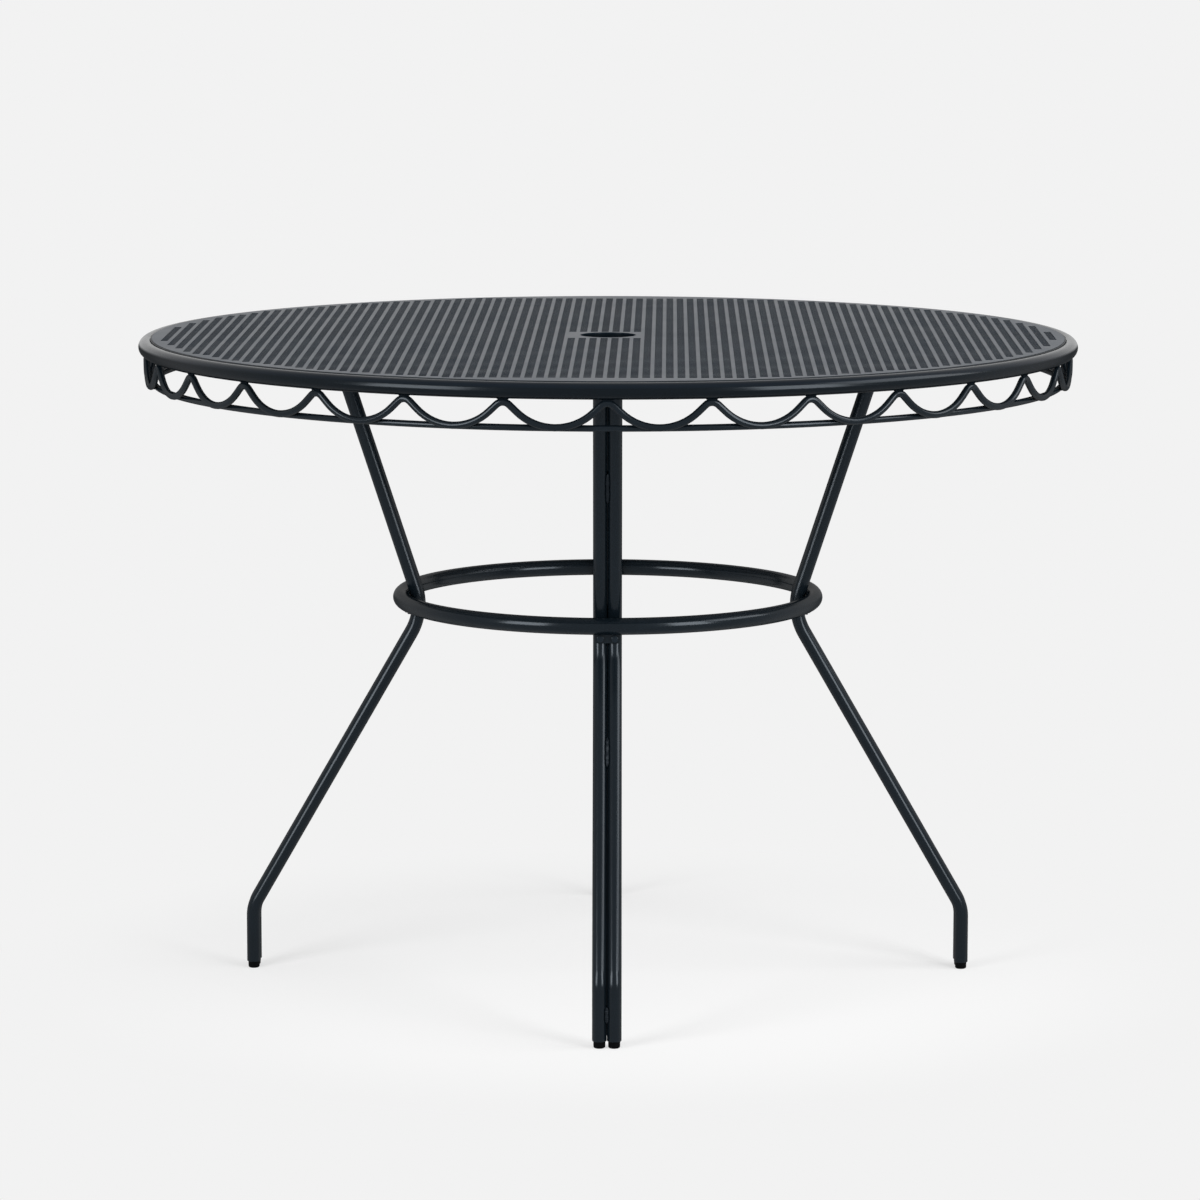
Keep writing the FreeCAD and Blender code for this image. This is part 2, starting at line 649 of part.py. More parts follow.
def export():
    """Checks every piece, then writes each one under its own name."""
    for piece in doc.Objects:
        if {"Invalid", "Error"} & set(piece.State):
            raise RuntimeError(f"{piece.Label} failed: {piece.State}")
    pieces = list(sub_parts())
    for piece in pieces:
        if piece.Shape.isNull() or not piece.Shape.isValid():
            raise RuntimeError(f"{piece.Label} has no valid shape")
    os.makedirs("parts", exist_ok=True)
    for piece in pieces:
        piece.Shape.exportStep(f"parts/{piece.Label}.step")
    print(len(pieces), "pieces")


build()
export()
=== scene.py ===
import math

import bpy
import numpy as np
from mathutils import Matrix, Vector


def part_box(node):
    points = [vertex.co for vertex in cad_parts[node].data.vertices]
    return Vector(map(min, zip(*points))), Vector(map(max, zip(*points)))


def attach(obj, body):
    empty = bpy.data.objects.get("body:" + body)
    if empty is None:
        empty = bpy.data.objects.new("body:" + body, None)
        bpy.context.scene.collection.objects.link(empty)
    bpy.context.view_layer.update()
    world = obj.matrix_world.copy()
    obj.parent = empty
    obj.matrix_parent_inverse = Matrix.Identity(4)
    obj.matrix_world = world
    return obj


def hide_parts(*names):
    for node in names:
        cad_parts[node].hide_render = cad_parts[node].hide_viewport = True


# A round umbrella table in near-black powder-coated steel: a perforated sheet in a tube rim, a
# scalloped rod skirt over a hoop, four pairs of dog-leg tubes and a brace ring at knee height.
# Metres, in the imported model's frame: floor at z 0, umbrella pole along +Z, camera at -Y.

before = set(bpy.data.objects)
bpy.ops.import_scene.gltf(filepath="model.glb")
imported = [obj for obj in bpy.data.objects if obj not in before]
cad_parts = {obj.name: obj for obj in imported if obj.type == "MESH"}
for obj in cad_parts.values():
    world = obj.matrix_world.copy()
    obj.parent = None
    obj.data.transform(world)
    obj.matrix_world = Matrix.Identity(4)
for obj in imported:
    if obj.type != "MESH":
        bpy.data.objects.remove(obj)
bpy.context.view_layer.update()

MM = 0.001
TURN = 2 * math.pi
SHARP_TURN = math.radians(35)


def ring_sizes(node, sides):
    """Radius, height and reach of a ring-shaped node whose section has flat sides.

    The reach is from the section's middle to a flat, half the box's height or, where a corner
    is on top, that times cos(half a side's angle).
    """
    low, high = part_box(node)
    top_is_corner = sides % 4 != 0
    reach = (high.z - low.z) / 2 * (math.cos(math.pi / sides) if top_is_corner else 1)
    outer = min(high.x, high.y, -low.x, -low.y)
    return outer - reach, (high.z + low.z) / 2, reach


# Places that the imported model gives.
RIM_RADIUS, RIM_HEIGHT, RIM_REACH = ring_sizes("rim_tube", 8)
BRACE_RADIUS, BRACE_HEIGHT, BRACE_REACH = ring_sizes("brace_ring", 8)
HOOP_RADIUS, HOOP_HEIGHT, ROD_REACH = ring_sizes("skirt_hoop", 6)
VALLEY_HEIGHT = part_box("scallop_rod")[0].z + ROD_REACH
SHEET_BOTTOM, SHEET_TOP = (corner.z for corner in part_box("top_sheet"))
SHEET_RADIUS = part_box("top_sheet")[1].x
COLLAR_LOW, COLLAR_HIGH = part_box("umbrella_collar")
RAIL_LOW, RAIL_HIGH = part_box("support_rail_right")
PLATE_LOW, PLATE_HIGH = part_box("leg_plate_right")
BOLTS_LOW, BOLTS_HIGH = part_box("plate_bolts")
BRACKET_LOW, BRACKET_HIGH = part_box("ring_bracket_right")
SCREWS_LOW, SCREWS_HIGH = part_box("ring_screws")
GLIDE_LOW, GLIDE_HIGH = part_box("foot_glide_right_b")
TUBE_LOW, TUBE_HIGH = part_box("leg_tube_right_b")

# Driving sizes of the perforated sheet.
UMBRELLA_HOLE_RADIUS = 31.75 * MM
HOLE_PITCH = 12.4 * MM
HOLE_SIZES = np.array([8.2, 9.2]) * MM
HOLE_SHIFT = -3.9 * MM
SHEET_TURN = -0.62
FIELD_RADIUS = 512 * MM
FIELD_END = 492 * MM
PATCH_COLUMNS = (-3, 3)
PATCH_ROWS = (-3, 2)
GRID_REACH = math.ceil(FIELD_RADIUS / HOLE_PITCH)

# Driving sizes of the rim, the skirt, the rails and the legs. The rim and the rod are drawn as
# thick as they look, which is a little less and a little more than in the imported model.
RIM_DRAWN = 9.0 * MM
RIM_SIZES = (RIM_RADIUS + RIM_REACH - RIM_DRAWN, RIM_HEIGHT - RIM_REACH + RIM_DRAWN, RIM_DRAWN)
SCALLOPS = 30
SCALLOP_DEPTH = 26 * MM
SCALLOP_LEAN = math.radians(43)
PEAK_BEND = 10 * MM
ROD_DRAWN = 3.9 * MM
RAIL_WALL = 1.5 * MM
RAIL_CORNER = 2.5 * MM
RAIL_MIDDLE = (RAIL_HIGH.z + RAIL_LOW.z) / 2
PLATE_MIDDLE = (PLATE_HIGH.x + PLATE_LOW.x) / 2
TUBE_REACH = (TUBE_HIGH.y - TUBE_LOW.y) / 2
TUBE_OFFSET = (TUBE_HIGH.y + TUBE_LOW.y) / 2
FOOT_RADIUS = (GLIDE_LOW.x + GLIDE_HIGH.x) / 2
WAIST_RADIUS = 212.2 * MM
WAIST_HEIGHT = 417.8 * MM
ANKLE_HEIGHT = 72.9 * MM
UPPER_LEAN = math.radians(18.1)
LEG_BEND = 64 * MM
ANKLE_BEND = 42 * MM
FOOT_SWAGE = 1.0 * MM
FILM_DEPTH = 1.2 * MM
FILM_OVERLAP = 0.1 * MM
LOWER_LEAN = math.atan((FOOT_RADIUS - WAIST_RADIUS) / (WAIST_HEIGHT - ANKLE_HEIGHT))

AZIMUTHS = {"right": 0, "back": 90, "left": 180, "front": 270}
MATES = {"a": -1, "b": 1}


def grid_quads(rows, columns, rows_close=False):
    """Corner numbers of the quads between neighbouring points of a grid.

    Point (i, j) is number i * columns + j. The last column joins the first, and so does the
    last row where the rows close.
    """
    row = np.arange(rows if rows_close else rows - 1)[:, None]
    column = np.arange(columns)[None, :]
    next_row = (row + 1) % rows
    next_column = (column + 1) % columns
    pairs = [(row, column), (row, next_column), (next_row, next_column), (next_row, column)]
    return np.stack([i * columns + j for i, j in pairs], axis=-1).reshape(-1, 4)


def capped(rings):
    """Points and faces of a tube through rings of points, with a face over each end."""
    rows, columns = rings.shape[:2]
    faces = grid_quads(rows, columns).tolist()
    faces.append(list(range(columns))[::-1])
    faces.append(list(range((rows - 1) * columns, rows * columns)))
    return rings.reshape(-1, 3), faces


def closed(rings):
    """Points and faces of a tube through rings of points whose last ring meets its first."""
    rows, columns = rings.shape[:2]
    return rings.reshape(-1, 3), grid_quads(rows, columns, rows_close=True).tolist()


def together(shapes):
    """Points and faces of several shapes as those of one."""
    shapes = list(shapes)
    firsts = np.cumsum([0] + [len(points) for points, _ in shapes])
    faces = [
        [int(first) + corner for corner in face]
        for first, (_, shape_faces) in zip(firsts, shapes)
        for face in shape_faces
    ]
    return np.concatenate([points for points, _ in shapes]), faces


def moved(shape, shift=(0, 0, 0), azimuth=0):
    """A shape shifted, then turned round the table's axis by degrees."""
    points, faces = shape
    angle = math.radians(azimuth)
    x, y, z = (points + np.asarray(shift)).T
    across = x * math.cos(angle) - y * math.sin(angle)
    along = x * math.sin(angle) + y * math.cos(angle)
    return np.stack([across, along, z], axis=-1), faces


def reordered(shape, order):
    """A shape with its axes in another cyclic order, which keeps its faces outwards."""
    points, faces = shape
    return points[:, order], faces


def on_each_side(shape):
    """A shape repeated on the four sides of the table."""
    return together(moved(shape, azimuth=azimuth) for azimuth in AZIMUTHS.values())


def add_piece(name, shape, finish, nodes=()):
    """A mesh piece that rides on the table and stands for CAD nodes, with its sharp turns sharp."""
    points, faces = shape
    mesh = bpy.data.meshes.new(name)
    mesh.from_pydata(points.tolist(), [], faces)
    mesh.shade_smooth()
    mesh.set_sharp_from_angle(angle=SHARP_TURN)
    mesh.materials.append(finish)
    piece = bpy.data.objects.new(name, mesh)
    bpy.context.scene.collection.objects.link(piece)
    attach(piece, "root")
    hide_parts(*nodes)


def lathe(profile, around=48):
    """Rings of a turned shape: each profile point (radius, height) goes round the Z axis."""
    angle = np.linspace(0, TURN, around, endpoint=False)[None, :]
    out, up = np.asarray(profile, float).T[:, :, None]
    return np.stack([out * np.cos(angle), out * np.sin(angle), up + 0 * angle], axis=-1)


def torus(radius, height, reach, around, across):
    """Torus: the point (radius + reach cos b, height + reach sin b) carried round the axis."""
    b = np.linspace(0, TURN, across, endpoint=False)
    section = np.stack([radius + reach * np.cos(b), height + reach * np.sin(b)], axis=-1)
    return closed(lathe(section, around))


def swept(path, heading, side, reach, across):
    """Rings of a round tube along a path.

    The circle at each point is point + reach * (side cos b + (heading x side) sin b). The side
    vector is square to the heading, and the reach may change along the path.
    """
    b = np.linspace(0, TURN, across, endpoint=False)[None, :, None]
    side = np.broadcast_to(side, path.shape)
    reach = np.broadcast_to(reach, len(path))[:, None, None]
    circle = np.cos(b) * side[:, None] + np.sin(b) * np.cross(heading, side)[:, None]
    return path[:, None] + reach * circle


def rounded_rectangle(length, width, corner, levels, steps=6):
    """Rings round a plate with rounded corners, at levels of (inset, height).

    Each point is a core corner + (corner radius - inset) * unit vector, and the unit vector
    makes a quarter turn at each of the four core corners.
    """
    angle = np.linspace(0, math.pi / 2, steps)[None, :] + np.arange(4)[:, None] * math.pi / 2
    unit = np.stack([np.cos(angle), np.sin(angle)], axis=-1)
    signs = np.array([[1, 1], [-1, 1], [-1, -1], [1, -1]])[:, None, :]
    core = signs * (np.array([length, width]) / 2 - corner)
    inset, up = np.asarray(levels, float).T[:, :, None, None, None]
    flat = core + (corner - inset) * unit
    up = np.broadcast_to(up, flat.shape[:-1] + (1,))
    return np.concatenate([flat, up], axis=-1).reshape(len(levels), -1, 3)


def plate(length, width, thickness, corner, edge):
    """A plate on z 0 with rounded corners and edges rounded over a quarter circle."""
    angle = np.linspace(0, math.pi / 2, 5)
    inset, up = edge * (1 - np.sin(angle)), edge * (1 - np.cos(angle))
    low = np.stack([inset, up], axis=-1)
    high = np.stack([inset, thickness - up], axis=-1)[::-1]
    return capped(rounded_rectangle(length, width, corner, np.concatenate([low, high])))


def hexagon_head(flats, height):
    """A hexagon head on z 0 whose top is chamfered to a circle, with a shallow dish in it.

    The hexagon's reach at an angle is half its flats / cos(angle from the nearest flat). The
    chamfer drops from the circle to the hexagon by their distance * tan(chamfer).
    """
    chamfer = math.radians(30)
    circle, dish_rim, dish_floor = 0.47 * flats, 0.329 * flats, 0.282 * flats
    dish_depth = 0.04 * flats
    angle = np.linspace(0, TURN, 48, endpoint=False)
    from_flat = (angle + math.pi / 6) % (math.pi / 3) - math.pi / 6
    hexagon = flats / 2 / np.cos(from_flat)
    drop = (hexagon - circle) * math.tan(chamfer)
    reach = [hexagon, hexagon, circle, dish_rim, dish_floor]
    up = [0, height - drop, height, height, height - dish_depth]
    rings = [[r * np.cos(angle), r * np.sin(angle), z + 0 * angle] for r, z in zip(reach, up)]
    return capped(np.stack(rings).transpose(0, 2, 1))


def washer(radius, thickness):
    """A round washer on z 0 whose outer edges are bevelled."""
    edge = 0.3 * thickness
    low = [(radius - edge, 0), (radius, edge)]
    high = [(radius, thickness - edge), (radius - edge, thickness)]
    return capped(lathe(low + high))


def weld_bead(length, reach, depth, rows=30, around=10):
    """A weld bead along Z, a spindle with the ripples that a welder's steps leave.

    Its swell is (1 - s^4)^(1/2) * (1 + ripple * cos(turn * place / step)), for s from -1 to 1
    along its length, times reach along X and times depth along Y. The ends are blunt points.
    """
    step = 2.2 * MM
    ripple = 0.12
    blunt = 0.02
    s = np.sin(np.linspace(-math.pi / 2, math.pi / 2, rows))[:, None]
    b = np.linspace(0, TURN, around, endpoint=False)[None, :]
    swell = np.sqrt(np.maximum(1 - s**4, blunt**2))
    swell = swell * (1 + ripple * np.cos(TURN * s * length / 2 / step))
    rings = [reach * swell * np.cos(b), depth * swell * np.sin(b), s * length / 2 + 0 * b]
    return capped(np.stack(rings, axis=-1))


def linear(hex_colour):
    """An sRGB hex colour as linear RGBA."""
    channels = [int(hex_colour[first:first + 2], 16) / 255 for first in (1, 3, 5)]
    light = [c / 12.92 if c <= 0.04045 else ((c + 0.055) / 1.055) ** 2.4 for c in channels]
    return (*light, 1.0)


def add_node(tree, kind, inputs=None, **settings):
    """Adds a node, sets its properties, and fills or links its inputs by name or number."""
    node = tree.nodes.new(kind)
    for name, value in settings.items():
        setattr(node, name, value)
    for name, value in (inputs or {}).items():
        if isinstance(value, bpy.types.NodeSocket):
            tree.links.new(value, node.inputs[name])
        else:
            node.inputs[name].default_value = value
    return node


def new_material(name):
    """An empty node material and its tree."""
    material = bpy.data.materials.new(name)
    material.use_nodes = True
    material.node_tree.nodes.clear()
    return material, material.node_tree


# What all films share: the tint of the gleam, the size and the span of the drift between their
# two tones, how far the roughness drifts, how steeply a normal rises where an upright face
# turns into a top, and the slants between which the painted shade at the silhouette grows.
COOL_GLEAM = "#e8f4ff"
DRIFT_SIZE = 60 * MM
DRIFT_SPAN = (0.3, 0.7)
ROUGHNESS_DRIFT = 0.02
UPRIGHT_TO_TOP = (0.25, 0.6)
SILHOUETTE_SHADE_SLANTS = (0.3, 0.85)


def coated(name, tones, film, silhouette_shade=(0.0, 0.0), upright_shade=None):
    """A film on metal or plastic: two near tones, a drifting satin and a fine relief.

    The film is its roughness, its specular level, and its relief's width and height. Towards
    the silhouette a share of the gleam gives way to the plain colour, a painted shade: the first
    of the silhouette shades on upright faces, the second on faces that look up. Upright faces
    may have a darker tone of their own, painted shade.
    """
    roughness, specular, peel_size, peel_height = film
    material, tree = new_material(name)
    coordinates = add_node(tree, "ShaderNodeTexCoord").outputs
    inputs = {"Vector": coordinates["Object"], "Scale": 1 / DRIFT_SIZE, "Detail": 3}
    drift = add_node(tree, "ShaderNodeTexNoise", inputs).outputs["Fac"]
    inputs = {"Vector": coordinates["Object"], "Scale": 1 / peel_size, "Detail": 2}
    peel = add_node(tree, "ShaderNodeTexNoise", inputs).outputs["Fac"]
    rise = add_node(tree, "ShaderNodeSeparateXYZ", {"Vector": coordinates["Normal"]}).outputs["Z"]
    inputs = {"Value": rise, "From Min": UPRIGHT_TO_TOP[0], "From Max": UPRIGHT_TO_TOP[1]}
    up = add_node(tree, "ShaderNodeMapRange", inputs, interpolation_type="SMOOTHSTEP")
    up = up.outputs["Result"]

    inputs = {0: drift, 6: linear(tones[0]), 7: linear(tones[1])}
    colour = add_node(tree, "ShaderNodeMix", inputs, data_type="RGBA").outputs[2]
    # Painted shade: upright faces take a darker tone of their own.
    if upright_shade:
        inputs = {0: up, 6: linear(upright_shade), 7: colour}
        colour = add_node(tree, "ShaderNodeMix", inputs, data_type="RGBA").outputs[2]
    inputs = {
        "Value": drift,
        "From Min": DRIFT_SPAN[0],
        "From Max": DRIFT_SPAN[1],
        "To Min": roughness - ROUGHNESS_DRIFT,
        "To Max": roughness + ROUGHNESS_DRIFT,
    }
    satin = add_node(tree, "ShaderNodeMapRange", inputs).outputs["Result"]
    relief = add_node(tree, "ShaderNodeBump", {"Height": peel, "Distance": peel_height})
    inputs = {
        "Base Color": colour,
        "Roughness": satin,
        "Specular IOR Level": specular,
        "Specular Tint": linear(COOL_GLEAM),
        "Normal": relief.outputs["Normal"],
    }
    gleaming = add_node(tree, "ShaderNodeBsdfPrincipled", inputs).outputs["BSDF"]
    plain = add_node(tree, "ShaderNodeBsdfDiffuse", {"Color": colour}).outputs["BSDF"]

    # Painted shade: towards the silhouette the gleam gives way to the plain colour, darkening it.
    slant = add_node(tree, "ShaderNodeLayerWeight", {"Blend": 0.5}).outputs["Facing"]
    inputs = {"Value": up, "To Min": silhouette_shade[0], "To Max": silhouette_shade[1]}
    most_silhouette_shade = add_node(tree, "ShaderNodeMapRange", inputs).outputs["Result"]
    inputs = {"Value": slant, "From Min": SILHOUETTE_SHADE_SLANTS[0], "From Max": SILHOUETTE_SHADE_SLANTS[1], "To Max": most_silhouette_shade}
    share = add_node(tree, "ShaderNodeMapRange", inputs, interpolation_type="SMOOTHSTEP")
    inputs = {0: share.outputs["Result"], 1: gleaming, 2: plain}
    surface = add_node(tree, "ShaderNodeMixShader", inputs).outputs["Shader"]
    add_node(tree, "ShaderNodeOutputMaterial", {"Surface": surface})
    return material


# Polyester powder coat, baked on steel tube: near-black with a cool cast, a soft satin gleam
# along each tube, and orange peel about 1.5 mm across, drawn a little coarser so that it shows.
tube_film = (0.17, 0.17, 2.5 * MM, 0.012 * MM)
# Painted shade: most of the gleam is taken away towards each tube's silhouette.
tube_coat = coated("satin_powder_coat_on_tube", ("#070c10", "#0a1015"), tube_film, (0.92, 0.8))

# The same powder on the rim, a little duller. Painted shade darkens its upright sides, with a
# darker tone and less gleam towards the silhouette; its top keeps its gleam at a glancing angle.
rim_film = (0.19, 0.13, 2.5 * MM, 0.012 * MM)
rim_coat = coated(
    "satin_powder_coat_on_rim", ("#070c12", "#091017"), rim_film, (0.92, 0.0), upright_shade="#04080c"
)

# The same powder over weld beads, whose ripples scatter the gleam.
weld_film = (0.42, 0.12, 1.6 * MM, 0.03 * MM)
# Painted shade: most of the gleam is taken away towards the silhouette of upright faces.
weld_coat = coated("satin_powder_coat_on_weld", ("#06090d", "#0a0f14"), weld_film, (0.9, 0.0))

# The same powder on perforated sheet. Painted shade gives the holes' walls and the sheet's edge
# a darker tone; the top gleams grey at a glancing angle.
sheet_film = (0.36, 0.13, 2.0 * MM, 0.02 * MM)
sheet_coat = coated(
    "satin_powder_coat_on_sheet", ("#0b1a28", "#0f202f"), sheet_film, upright_shade="#030d16"
)

# Painted zinc-plated heads: thinner paint on machined faces, a little smoother and paler than
# the weld beads beside them.
head_film = (0.3, 0.14, 1.2 * MM, 0.02 * MM)
head_paint = coated("painted_zinc_fastener", ("#0c1217", "#11181e"), head_film)

# Moulded polyethylene: a dull black with the fine grain of the mould.
glide_film = (0.62, 0.04, 0.8 * MM, 0.03 * MM)
glide_plastic = coated("moulded_polyethylene_glide", ("#020202", "#030303"), glide_film)


def hole_grid():
    """Which cells have a hole, which lie in the field or the patch, and which in the patch.

    A cell is in the field where its hole's far corner is within the round field and short of
    the plain ends. The plain patch is the cells round the umbrella hole.
    """
    numbers = np.arange(-GRID_REACH, GRID_REACH + 1)
    column, row = np.meshgrid(numbers, numbers, indexing="ij")
    far_x = np.abs(HOLE_SHIFT + column * HOLE_PITCH) + HOLE_SIZES[0] / 2
    far_y = np.abs((row + 0.5) * HOLE_PITCH) + HOLE_SIZES[1] / 2
    in_field = (np.hypot(far_x, far_y) <= FIELD_RADIUS) & (far_y <= FIELD_END)
    in_patch = (column >= PATCH_COLUMNS[0]) & (column <= PATCH_COLUMNS[1])
    in_patch &= (row >= PATCH_ROWS[0]) & (row <= PATCH_ROWS[1])
    return in_field & ~in_patch, in_field | in_patch, in_patch


def staircase(filled):
    """Corners of the outline of the filled cells, in turn round the table.

    A cell's side belongs to the outline where the cell beyond it is empty. The sides' start
    corners, sorted by their angle round the table's axis, run anticlockwise.
    """
    corners = []
    steps = ((0, -1), (1, 0), (0, 1), (-1, 0))
    starts = ((0, 0), (1, 0), (1, 1), (0, 1))
    for step, start in zip(steps, starts):
        beyond = np.roll(filled, (-step[0], -step[1]), axis=(0, 1))
        cells = np.argwhere(filled & ~beyond)
        corners.append(cells + start)
    corners = np.concatenate(corners)
    x, y = corner_place(corners).T
    return corners[np.argsort(np.arctan2(y, x))]


def corner_place(corners):
    """Where the corners of cells lie on the table, from their column and row counts."""
    column, row = (corners - GRID_REACH).T
    return np.stack([HOLE_SHIFT + (column - 0.5) * HOLE_PITCH, row * HOLE_PITCH], axis=-1)


def ruled(near, far):
    """Quads between two rows of corner numbers that both close on themselves."""
    quads = np.stack([near, far, np.roll(far, -1, axis=-1), np.roll(near, -1, axis=-1)], axis=-1)
    return quads.reshape(-1, 4).tolist()


def perforated_sheet():
    """The round sheet with its nearly square holes and the umbrella hole.

    Each cell is a square frame between its outline and its hole. Outside the cells, quads run
    from the outline out to the round edge at the same angle. Inside the plain patch, faces run
    from the patch's outline in to the umbrella hole. The lower side repeats the upper one, and
    walls join the two round each hole and edge.
    """
    holes, filled, patch = hole_grid()
    cells = np.argwhere(holes)
    around = np.array([[0, 0], [1, 0], [1, 1], [0, 1]])
    outer = (cells[:, None, :] + around).reshape(-1, 2)
    middle = corner_place(cells) + HOLE_PITCH / 2
    hole = (middle[:, None, :] + (around - 0.5) * HOLE_SIZES).reshape(-1, 2)

    outline, patch_outline = staircase(filled), staircase(patch)

    lattice, number = np.unique(
        np.concatenate([outer, outline, patch_outline]), axis=0, return_inverse=True
    )
    number = number.ravel()
    cell_number = number[:len(outer)].reshape(-1, 4)
    outline_number = number[len(outer):len(outer) + len(outline)]
    patch_number = number[len(outer) + len(outline):]
    outline_place = corner_place(outline)
    edge = SHEET_RADIUS * outline_place / np.linalg.norm(outline_place, axis=1, keepdims=True)

    arcs = 4
    patch_angle = np.unwrap(np.arctan2(*corner_place(patch_outline).T[::-1]))
    ends = np.append(patch_angle, patch_angle[0] + TURN)
    share = np.arange(arcs) / arcs
    angle = (ends[:-1, None] + share * (ends[1:] - ends[:-1])[:, None]).ravel()
    bore = UMBRELLA_HOLE_RADIUS * np.stack([np.cos(angle), np.sin(angle)], axis=-1)

    flat = np.concatenate([corner_place(lattice), hole, edge, bore])
    hole_first = len(lattice)
    edge_first = hole_first + len(hole)
    bore_first = edge_first + len(edge)
    hole_number = hole_first + np.arange(len(hole)).reshape(-1, 4)
    edge_number = edge_first + np.arange(len(edge))
    bore_number = bore_first + np.arange(len(bore))

    faces = ruled(hole_number, cell_number) + ruled(outline_number, edge_number)
    for index, corner in enumerate(patch_number.tolist()):
        following = int(patch_number[(index + 1) % len(patch_number)])
        arc = np.arange(index * arcs, (index + 1) * arcs + 1) % len(bore_number)
        faces.append([corner, following] + bore_number[arc[::-1]].tolist())
    below = len(flat)
    lower = [[corner + below for corner in face[::-1]] for face in faces]
    walls = ruled(hole_number + below, hole_number)
    walls += ruled(edge_number, edge_number + below)
    walls += ruled(bore_number + below, bore_number)
    high = np.column_stack([flat, np.full(len(flat), SHEET_TOP)])
    low = np.column_stack([flat, np.full(len(flat), SHEET_BOTTOM)])
    return np.concatenate([high, low]), faces + lower + walls


def scallop_path():
    """The skirt rod's centre line, wrapped round the table, with its heading and its side.

    Along one scallop the line is the arc valley - (valley^2 - t^2)^(1/2) to where it leans most,
    then straight, then the arc of the peak, and it comes down the same way. Place t along it is
    the angle round the table times the rim's radius.
    """
    half = math.pi * RIM_RADIUS / SCALLOPS
    sine, cosine = math.sin(SCALLOP_LEAN), math.cos(SCALLOP_LEAN)
    bends = (half * sine - SCALLOP_DEPTH * cosine) / (1 - cosine)
    valley = bends - PEAK_BEND
    low, high = np.linspace(0, SCALLOP_LEAN, 9), np.linspace(SCALLOP_LEAN, 0, 7)
    start, end = valley * sine, half - PEAK_BEND * sine
    valley_rise = valley * (1 - np.cos(low))
    peak_rise = SCALLOP_DEPTH - PEAK_BEND * (1 - np.cos(high))
    along = np.concatenate(
        [valley * np.sin(low), [(start + end) / 2], half - PEAK_BEND * np.sin(high)]
    )
    rise = np.concatenate([valley_rise, [(valley_rise[-1] + peak_rise[0]) / 2], peak_rise])
    lean = np.concatenate([low, [SCALLOP_LEAN], high])
    along = np.concatenate([along, 2 * half - along[-2:0:-1]])
    rise = np.concatenate([rise, rise[-2:0:-1]])
    lean = np.concatenate([lean, -lean[-2:0:-1]])
    angle = (np.arange(SCALLOPS)[:, None] * TURN / SCALLOPS + along / RIM_RADIUS).ravel()
    rise, lean = np.tile(rise, SCALLOPS), np.tile(lean, SCALLOPS)
    side = np.stack([np.cos(angle), np.sin(angle), 0 * angle], axis=-1)
    level = np.stack([-np.sin(angle), np.cos(angle), 0 * angle], axis=-1)
    up = np.array([0, 0, 1.0])
    path = RIM_RADIUS * side + (VALLEY_HEIGHT + rise)[:, None] * up
    heading = np.cos(lean)[:, None] * level + np.sin(lean)[:, None] * up
    return path, heading, side


def waist_hub():
    """Radius and height of the centre that the leg's waist bends round."""
    setback = LEG_BEND / math.cos((UPPER_LEAN + LOWER_LEAN) / 2)
    slant = (UPPER_LEAN - LOWER_LEAN) / 2
    return WAIST_RADIUS + setback * math.cos(slant), WAIST_HEIGHT - setback * math.sin(slant)


def leg_path(foot_up):
    """A leg's centre line in the plane y 0, from heights in the foot up to the plate.

    It runs up the foot, round the ankle's arc, straight, round the waist's arc and straight to
    the plate. Gives its points and its headings.
    """
    hub_out, hub_up = waist_hub()
    ankle_start = ANKLE_HEIGHT - ANKLE_BEND * math.tan(LOWER_LEAN / 2)
    ankle = np.linspace(0, LOWER_LEAN, 11)
    waist = np.linspace(-LOWER_LEAN, UPPER_LEAN, 19)
    lower = np.linspace(0.1, 0.9, 5)
    ankle_out = FOOT_RADIUS - ANKLE_BEND * (1 - np.cos(ankle))
    ankle_up = ankle_start + ANKLE_BEND * np.sin(ankle)
    waist_out = hub_out - LEG_BEND * np.cos(waist)
    waist_up = hub_up + LEG_BEND * np.sin(waist)
    upper = np.linspace(0.2, 1, 5) * (PLATE_LOW.z - waist_up[-1])
    lower_out = ankle_out[-1] + lower * (waist_out[0] - ankle_out[-1])
    lower_up = ankle_up[-1] + lower * (waist_up[0] - ankle_up[-1])
    upper_out = waist_out[-1] + upper * math.tan(UPPER_LEAN)
    upper_up = waist_up[-1] + upper
    out = np.concatenate([FOOT_RADIUS + 0 * foot_up, ankle_out, lower_out, waist_out, upper_out])
    up = np.concatenate([foot_up, ankle_up, lower_up, waist_up, upper_up])
    lean = np.concatenate(
        [0 * foot_up, -ankle, 0 * lower - LOWER_LEAN, waist, 0 * upper + UPPER_LEAN]
    )
    path = np.stack([out, 0 * out, up], axis=-1)
    return path, np.stack([np.sin(lean), 0 * lean, np.cos(lean)], axis=-1)


def leg_tube():
    """One leg tube on the right side, in its own plane y 0.

    The foot's end is drawn in over a quarter circle, and the top ring slides along the tube
    until it lies level under the plate.
    """
    drawn = np.linspace(0, math.pi / 2, 6)
    end_up = TUBE_LOW.z + FOOT_SWAGE * (1 - np.cos(drawn))
    path, heading = leg_path(np.append(end_up, np.linspace(20, 45, 3) * MM))
    reach = np.full(len(path), TUBE_REACH)
    reach[:len(drawn)] -= FOOT_SWAGE * (1 - np.sin(drawn))
    rings = swept(path, heading, np.array([0, 1.0, 0]), reach, across=32)
    slide = (PLATE_LOW.z - rings[-1, :, 2]) / heading[-1, 2]
    rings[-1] += slide[:, None] * heading[-1]
    return capped(rings)


def leg_line(up):
    """The leg's centre line: its radius and its lean at a height above the ankle's bend.

    Within the waist's arc the lean is the arcsine of the height over the hub / the bend. Past
    the arc's ends the line runs on straight.
    """
    hub_out, hub_up = waist_hub()
    sine = np.clip((up - hub_up) / LEG_BEND, -math.sin(LOWER_LEAN), math.sin(UPPER_LEAN))
    lean = np.arcsin(sine)
    past = up - hub_up - LEG_BEND * sine
    return hub_out - LEG_BEND * np.cos(lean) + past * np.tan(lean), lean


